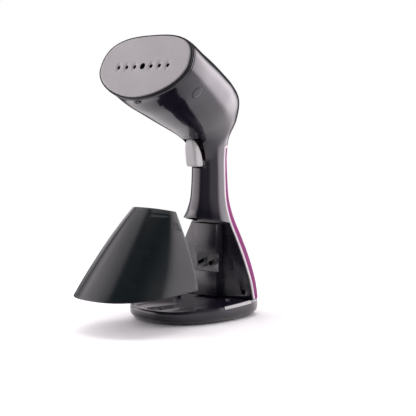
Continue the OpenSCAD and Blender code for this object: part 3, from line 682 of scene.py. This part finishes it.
# inset from the head's outline and height above its end: the rounded rim, and the ring that holds the plate
BEZEL_PROFILE = [
    (1.7, 0.2), (1.65, 2.4), (1.5, 2.8), (1.2, 2.95), (0.85, 2.8), (0.6, 2.35), (0.45, 1.5), (0.4, 0.6),
    (0.7, 0.1), (4.0, 0.1), (4.0, -2.4), (5.2, -2.4), (5.2, 0.2), (1.7, 0.2),
]


def make_bezel():
    piece = stack("plate_bezel_ring", oval_rings(BEZEL_PROFILE), closed=False)
    smooth(piece, 50)
    dress(piece, "stand", "black_rim_and_painted_shade", "plate_bezel")


PLATE_BACK = 0.15                # heights of the plate's back and face above the head's end
PLATE_FACE = 3.4
PLATE_ROUND = 0.9                # depth of the rounding at the plate's rim
PLATE_FLAT = 0.965               # share of the plate inside that rounding
DIMPLE_L = 6.5                   # half length of the soft hollow round a steam hole
DIMPLE_W = 3.6
DIMPLE_T = 0.9


def plate_height(x, y, share):
    """Height of the plate's face: rounded at the rim, with a soft long hollow round each small hole."""
    z = PLATE_FACE
    for k in STEAM_HOLES:
        d = math.hypot((x - k * STEAM_PITCH) / DIMPLE_W, y / DIMPLE_L)
        if k and d < 1:
            z -= DIMPLE_T * (1 - d * d) ** 1.5
    rim = min(max(share - PLATE_FLAT, 0) / (1 - PLATE_FLAT), 1)
    return z - PLATE_ROUND * (1 - math.sqrt(1 - rim * rim))


def hole_radius(k):
    return (STEAM_D if k else CENTRE_D) / 2


def make_plate():
    """The plate with its rounded rim, its dimples and its steam holes, whose walls are painted black as
    painted shade.
    """
    count = 288
    shares = [k / 64 for k in range(1, 62)] + [PLATE_FLAT + (1 - PLATE_FLAT) * k / 10 for k in range(11)]
    rings = []
    for share in shares:
        ring = plate_oval(PLATE_A * share, PLATE_B * share, count)
        rings.append([at_plate((x, y, plate_height(x, y, share))) for x, y in ring])
    rings.append([at_plate((x, y, PLATE_BACK)) for x, y in plate_oval(PLATE_A, PLATE_B, count)])
    piece = stack("steam_plate_face", rings)
    drills = []
    for k in STEAM_HOLES:
        outline = [(k * STEAM_PITCH + x, y) for x, y in oval(hole_radius(k), hole_radius(k), 32)]
        drills.append(prism("drill", outline, -2, 8, at_plate))
    cut(piece, drills)
    smooth(piece, 40)
    piece.data.materials.clear()
    piece.data.materials.append(MATERIALS["plate_aluminium"])
    piece.data.materials.append(MATERIALS["black_rim_and_painted_shade"])
    holes = [(k, Vector(at_plate((k * STEAM_PITCH, 0, 2.5))) * MM) for k in STEAM_HOLES]
    outward = Vector(at_plate((0, 0, 1))) - Vector(at_plate((0, 0, 0)))
    # the walls of the steam holes take the black finish: painted shade inside the holes
    for face in piece.data.polygons:
        reach, k = min(((face.center - spot).length / MM, k) for k, spot in holes)
        hole_wall_painted_shade = abs(face.normal.dot(outward)) < 0.6 and reach < hole_radius(k) + 1.5
        face.material_index = 1 if hole_wall_painted_shade else 0
    dress(piece, "stand", "plate_aluminium", "steam_plate")


CAP_PLACE = 47 / SPANS           # place along the sections of the caps at the head's sides
CAP_COLUMN = 9.2
CAP_R = 6.05                     # radius of the cap inside the painted shade line round it
# distance from the cap's middle and lift off the shell, out to the edge of the painted shade line round it
CAP_PROFILE = [(0.01, 0.10), (3.0, 0.10), (5.9, 0.10), (6.15, 0.0), (6.15, 0.05), (6.8, 0.05), (6.85, -0.2)]


def make_screw_caps(shells):
    """Flush caps over the screws at the head's sides, each with a fine black line round it: painted shade
    in the gap between cap and shell.
    """
    place = skin_point(curve_at(SECTIONS, CAP_PLACE), CAP_COLUMN, 0)
    for side, name in ((-1, "left"), (1, "right")):
        tree = BVHTree.FromObject(shells["shell_" + name], bpy.context.evaluated_depsgraph_get())
        start = Vector((side * (place[0] + 20), place[1], place[2])) * MM
        spot, normal = tree.ray_cast(start, Vector((-side, 0, 0)))[:2]
        u = normal.cross(UP).normalized()
        v = normal.cross(u)
        rings = []
        for radius, lift in CAP_PROFILE:
            rings.append([])
            for x, y in oval(radius, radius, 48):
                flat = spot + (u * x + v * y) * MM
                hit = tree.ray_cast(flat + normal * 0.02, -normal)[0]
                rings[-1].append((hit + normal * lift * MM) / MM)
        piece = stack("screw_cap_disc_" + name, rings, closed=False)
        piece.data.materials.append(MATERIALS["dark_gloss"])
        piece.data.materials.append(MATERIALS["black_rim_and_painted_shade"])
        # faces past CAP_R take the black finish: painted shade in the gap round the cap
        for face in piece.data.polygons:
            face.material_index = 1 if (face.center - spot).length > CAP_R * MM else 0
        smooth(piece, 60)
        dress(piece, "stand", "dark_gloss", "screw_cap_" + name)


# ---------------------------------------------------------------- trigger

# height, front y, back y and half width of the finger pad, from its foot to its arched top
PAD_PROFILE = [
    (156.3, -28.4, -20.2, 6.5), (157.0, -30.2, -20.1, 7.1), (158.5, -31.0, -20.1, 7.35),
    (163, -31.8, -20.9, 7.4), (169, -32.6, -22.5, 7.35), (175, -33.2, -25.2, 7.1), (179, -33.5, -27.7, 6.6),
    (182, -33.4, -29.8, 5.6), (184, -33.0, -30.9, 4.1), (185.1, -32.4, -31.5, 2.2),
]
PAD_STEPS = 5                    # rings from one row of the profile to the next
PAD_R = 3                        # rounding of its side edges
RIB = 0.25                       # depth of the fine lines near them
PIVOT = (-13, 185.5)             # y and z of the trigger's pin
LEVER_Z = 168.5                  # height of the lever that reaches the switch
ARM_W = 6


def make_trigger():
    """The finger pad with fine ribs near its side edges, and the arm and lever behind it."""
    rings, count = [], 12
    for i in range((len(PAD_PROFILE) - 1) * PAD_STEPS + 1):
        z, front, back, half = curve_at(PAD_PROFILE, i / PAD_STEPS)
        r = min(PAD_R, half * 0.8, (back - front) * 0.7)
        right = [(half, back), (half, front + r + 0.4)]
        for k in range(count + 1):
            f = math.pi / 2 * k / count
            rib = RIB if k in (2, 5) and 160 < z < 180 else 0
            right.append((half - r + (r - rib) * math.cos(f), front + r - (r - rib) * math.sin(f)))
        left = [(-x, y) for x, y in reversed(right)]
        rings.append([(x, y, z) for x, y in right + left])
    pad = stack("trigger_pad", rings)
    smooth(pad, 40)
    dress(pad, "trigger", "light_grey", "trigger")
    arm = [(-30, 181.5), (-26.2, 177), (-13, 182.2), (-13, 188.8), (-20, 186.5)]
    lever = [(-24, LEVER_Z - 3), (-14, LEVER_Z - 2), (-14, LEVER_Z + 2), (-24, LEVER_Z + 3)]
    for name, outline in (("trigger_arm", arm), ("trigger_lever", lever)):
        piece = prism(name, outline, -ARM_W / 2, ARM_W / 2, lambda p: (p[2], p[0], p[1]))
        round_edges(piece, 0.3)
        smooth(piece)
        dress(piece, "trigger", "matte_black")
    barrel = [(1.55, -6), (3.4, -6), (3.4, 6), (1.55, 6), (1.55, -6)]
    rings = [[(x, PIVOT[0] + y, PIVOT[1] + z) for y, z in oval(r, r, 32)] for r, x in barrel]
    piece = stack("trigger_barrel", rings, closed=False)
    smooth(piece, 40)
    dress(piece, "trigger", "matte_black")


# ---------------------------------------------------------------- base

BASE_W = 117
BASE_FRONT = 97
BASE_REAR = 36
BASE_Y = -10
BASE_LOW = 4.1
FALL = math.tan(math.radians(2.5))       # of the deck towards the front


def deck_at(y):
    """Height of the deck: level under the housing, falling towards the front."""
    return DECK_Z + min(y, 0) * FALL


def base_ring(inset, z, count=160):
    """A level line round the base's side, drawn down in front with the deck."""
    ring = []
    for x, y in oval(1, 1, count, 2.5):
        reach = BASE_FRONT + BASE_Y if y < 0 else BASE_REAR - BASE_Y
        y = BASE_Y + y * (reach - inset)
        share = (deck_at(y) - BASE_LOW) / (DECK_Z - BASE_LOW)
        ring.append((x * (BASE_W / 2 - inset), y, BASE_LOW + (z - BASE_LOW) * share))
    return ring


# inset from the base's side and height, round the strip from its lower edge over the rim and back inside
STRIP_PROFILE = [
    (-0.1, 15.2), (-0.3, 15.5), (-0.25, 16.6), (0.0, 17.4), (0.5, 18.05), (1.2, 18.5), (1.3, 18.2),
    (0.9, 17.5), (0.5, 16.0), (0.4, 15.2),
]
STRIP_Y = (-51, -3)
STRIP_PLUG = 8                   # the dark plug takes the first of the strip's rings, then one is left out


def make_rim_highlight_strips():
    """The light grey strips on the base's rim beside the tank, a painted highlight along the rim, each with
    a small dark plug at its front end.
    """
    rings = [base_ring(d, z, 640) for d, z in STRIP_PROFILE]
    for side, name in ((1, "right"), (-1, "left")):
        spots = [k for k, (x, y, z) in enumerate(rings[0]) if x * side > 0 and STRIP_Y[0] < y < STRIP_Y[1]]
        spots.sort(key=lambda k: rings[0][k][1])
        # the light grey strip is a painted highlight on the rim
        bar = stack("rim_highlight_strip_" + name, [[ring[k] for ring in rings] for k in spots[STRIP_PLUG + 1:]])
        smooth(bar, 50)
        dress(bar, "stand", "light_grey", "edge_strip_" + name)
        plug = stack("edge_plug_" + name, [[ring[k] for ring in rings] for k in spots[:STRIP_PLUG]])
        smooth(plug, 50)
        dress(plug, "stand", "matte_black")


CATCH_Y = -87
CATCH_Z = deck_at(CATCH_Y) - 0.3
POCKET = 5                       # depth of the catch's pocket: the button sinks 1.5
RAIL_X = 27
RAIL_W = 1

# inset from the base's side and height: side, soft rim, groove and deck
TRAY_PROFILE = [
    (4.4, 4.1), (2.9, 4.2), (1.7, 4.9), (0.9, 6.2), (0.35, 8), (0.05, 10.5), (0, 13.5), (0.1, 15.6),
    (0.35, 17.0), (0.8, 17.9), (1.45, 18.4), (2.1, 18.5), (2.5, 18.35), (2.75, 17.9), (3.0, 17.3),
    (3.6, 17.3), (3.8, 17.7), (4.4, 17.85),
]


def six_sided(length, flat, width):
    """An outline with points at both ends; flat is the length of its front and back sides."""
    a, b, c = length / 2, flat / 2, width / 2
    return [(-a, 0), (-b, -c), (b, -c), (a, 0), (b, c), (-b, c)]


def make_tray():
    """The base: a side that tucks in below, a soft rim, a groove, and a deck with grooves and a pocket."""
    piece = stack("base_tray_moulded", [base_ring(d, z) for d, z in TRAY_PROFILE])
    pocket = [(x, y + CATCH_Y) for x, y in six_sided(17.2, 8.8, 10.4)]
    cutters = [prism("pocket", pocket, CATCH_Z - POCKET, 30)]
    for x in (-RAIL_X, RAIL_X):
        a, b = x - RAIL_W / 2, x + RAIL_W / 2
        outline = [(a, -84), (b, -84), (b, -9.5), (a, -9.5)]
        cutters.append(prism("rail", outline, -1.4, 10, lambda p: (p[0], p[1], p[2] + deck_at(p[1]))))
    cut(piece, cutters)
    clean(piece)
    smooth(piece, 30)
    dress(piece, "stand", "dark_gloss", "base_tray")


def make_catch():
    """The catch that holds the tank: a dished six-sided button in its pocket."""
    levels = [(1.0, -3.0), (1.0, -0.9), (0.93, -0.3), (0.84, -0.2), (0.55, -0.8), (0.25, -1.0)]
    shape = six_sided(15.6, 8, 9)
    rings = [[(x * s, y * s + CATCH_Y, z + CATCH_Z) for x, y in shape] for s, z in levels]
    piece = stack("catch_button_moulded", rings)
    round_edges(piece, 0.3)
    smooth(piece)
    dress(piece, "catch", "matte_black", "catch_button")


# ---------------------------------------------------------------- tank

TANK_Z = DECK_Z + 0.4
TANK_TOP = SKIRT_Z - 1.6
TANK_T = 1.8
TANK_GAP = 0.05                  # the skin keeps this far inside the outer face
TANK_W = 0.93                    # width of the tank as a share of the housing's
TANK_NECK = 24                   # its depth at the top
TANK_TRAVEL = 83
TANK_SLOPE = math.radians(13)
BULGE_Y = 25                     # the tank's foot is widest this far in front of its back
BULGE_REACH = 130
TANK_FRONT = BASE_FRONT - 2.5
TANK_RAISE = math.tan(math.radians(SKIRT_SLOPE))
DRAWN = (0, -TANK_TRAVEL * math.cos(TANK_SLOPE), TANK_TRAVEL * math.sin(TANK_SLOPE))
WIDTHS = [(r[1], r[3]) for r in (curve_at(SECTIONS, i / SPANS) for i in range(PLATE_I + 1))]
TANK_ROWS = 60
TANK_COLS = 176


def half_width(z):
    """Half width of the housing at height z."""
    for (z0, w0), (z1, w1) in zip(WIDTHS, WIDTHS[1:]):
        if z <= z1:
            return w0 + (w1 - w0) * (z - z0) / (z1 - z0)
    return WIDTHS[-1][1]


def tank_point(s, u, inset):
    """A point of the tank's skin at height s and place u round it, both 0 to 1, inset inwards."""
    n = 2.55 - 0.25 * s
    level = TANK_Z + s * (TANK_TOP - TANK_Z)
    middle = -BULGE_Y * (1 - s)
    back = (-middle / BULGE_REACH) ** (n / 2)
    half = TANK_W * half_width(level + 1) / (1 - back * back) ** (1 / n) - inset
    front = TANK_FRONT + (TANK_NECK - TANK_FRONT) * s + middle - inset
    reach = math.pi / 2 + math.asin(back)
    f = -math.pi / 2 + (-1 if u < 0.5 else 1) * reach * abs(2 * u - 1)
    turn = sgn_pow(math.sin(f), 2 / n)
    x = half * sgn_pow(math.cos(f), 2 / n)
    y = min(middle + turn * (front if turn < 0 else BULGE_REACH), -0.15)
    z = level - y * s * s * TANK_RAISE + y * (1 - s) ** 2 * FALL
    return (x + DRAWN[0], y + DRAWN[1], z + DRAWN[2])


def tank_grid(inset):
    """The tank's skin as rows of points, inset from the outer face."""
    return [[tank_point(i / TANK_ROWS, j / TANK_COLS, inset) for j in range(TANK_COLS + 1)]
            for i in range(TANK_ROWS + 1)]


def make_tank():
    piece = wall("tank_shell_moulded", tank_grid(TANK_GAP), tank_grid(TANK_T))
    round_edges(piece, 0.5, 60)
    smooth(piece, 45)
    dress(piece, "tank", "tank_smoke", "tank_shell")


SLITS = 4
SLIT_STEPS = 8
SLIT_LEAN = 1.2                  # from foot to top, in spaces between the slits
SLIT_W = 0.5                     # in the same spaces


def slit_place(k):
    """Place around the tank of slit k: evenly spaced, and close to the rear edge at the last."""
    return 1 - 0.043 * (1 - k / SLITS) ** 1.6


def make_tank_slits():
    """Short slanted air slits in the tank's side near its right rear edge, drawn as flat black strips on
    its face: painted shade in the openings.
    """
    for k in range(SLITS):
        points = []
        for i in range(SLIT_STEPS + 1):
            t = i / SLIT_STEPS
            s = 0.765 - 0.004 * k + 0.105 * t
            spots = [slit_place(k - SLIT_LEAN * t + w) for w in (-SLIT_W / 2, SLIT_W / 2)]
            points += [tank_point(s, u, 0.02) for u in spots]
        faces = [[2 * i, 2 * i + 1, 2 * i + 3, 2 * i + 2] for i in range(SLIT_STEPS)]
        piece = mesh_object("tank_slit_painted_shade_%d" % k, points, faces)
        # black strips: painted shade where the slits open
        dress(piece, "tank", "black_rim_and_painted_shade")


# ---------------------------------------------------------------- all pieces

# CAD nodes that keep their mesh, by finish
KEPT = {
    "rubber_black": ["rubber_feet", "port_seals"],
    "matte_black": ["bottom_plate", "catch_cup", "handle_floor", "attachment_slot", "pump_cradle",
                    "switch_body"],
    "steel": ["base_screws", "catch_spring", "trigger_pin", "trigger_spring"],
    "rubber_red": ["plate_gasket"],
    "cast_aluminium": ["boiler_block", "boiler_cover"],
    "element_steel": ["heating_element"],
    "ceramic_white": ["thermostat", "thermal_fuse"],
    "switch_red": ["switch_plunger"],
    "board_green": ["control_board"],
    "pump_white": ["water_pump"],
    "hose_clear": ["inlet_hose", "outlet_hose"],
    "tank_smoke": ["tank_back", "tank_floor", "tank_roof"],
    "filter_white": ["tank_filter"],
}
# CAD nodes that are copied with rounded edges: node, width of the rounding, body, finish
SOFTENED = [
    ("bay_wall", 0.5, "stand", "dark_satin"),
    ("bay_stud_left", 0.1, "stand", "steel"),
    ("bay_stud_right", 0.1, "stand", "steel"),
    ("cord_gland", 0.3, "stand", "rubber_black"),
    ("trigger_frame", 0.2, "stand", "matte_black"),
    ("tank_ports", 0.2, "tank", "matte_black"),
    ("fill_plug", 0.4, "plug", "rubber_black"),
]


def paint_kept_nodes():
    for slot, nodes in KEPT.items():
        for node in nodes:
            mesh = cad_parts[node].data
            mesh.materials.clear()
            mesh.materials.append(MATERIALS[slot])


FLOOR_R = 800
FLOOR_Z = -0.05


def make_floor():
    """A pale disc under the object that fades out far from it, so that no edge shows."""
    rings, count = 24, 96
    points, faces = [(0, 0, FLOOR_Z)], []
    for i in range(1, rings + 1):
        r = FLOOR_R * i / rings
        points += [(x, y, FLOOR_Z) for x, y in oval(r, r, count)]
    for k in range(count):
        faces.append([0, 1 + k, 1 + (k + 1) % count])
        for i in range(rings - 1):
            a, b = 1 + i * count + k, 1 + i * count + (k + 1) % count
            faces.append([a, a + count, b + count, b])
    floor = mesh_object("floor", points, faces)
    material = finish("floor_paper", (0.97, 0.97, 0.97), 0.4, spread=0.01, grain=300, bump=0.01, wear=0)
    tree = material.node_tree
    place = tree.nodes.new("ShaderNodeTexCoord")
    reach = tree.nodes.new("ShaderNodeVectorMath")
    reach.operation = "LENGTH"
    tree.links.new(place.outputs["Object"], reach.inputs[0])
    fade = mapped(tree, reach.outputs["Value"], 0.25, 0.75, 1, 0)
    tree.links.new(fade, tree.nodes["Principled BSDF"].inputs["Alpha"])
    floor.data.materials.append(material)


make_camera()
make_world()
make_lights()
make_floor()
paint_kept_nodes()
for node, width, body, slot in SOFTENED:
    soften(node, width, body, slot)
shells = make_skins()
make_bezel()
make_plate()
make_screw_caps(shells)
make_trigger()
make_tray()
make_rim_highlight_strips()
make_catch()
make_tank()
make_tank_slits()

SCENE.view_settings.view_transform = "Standard"
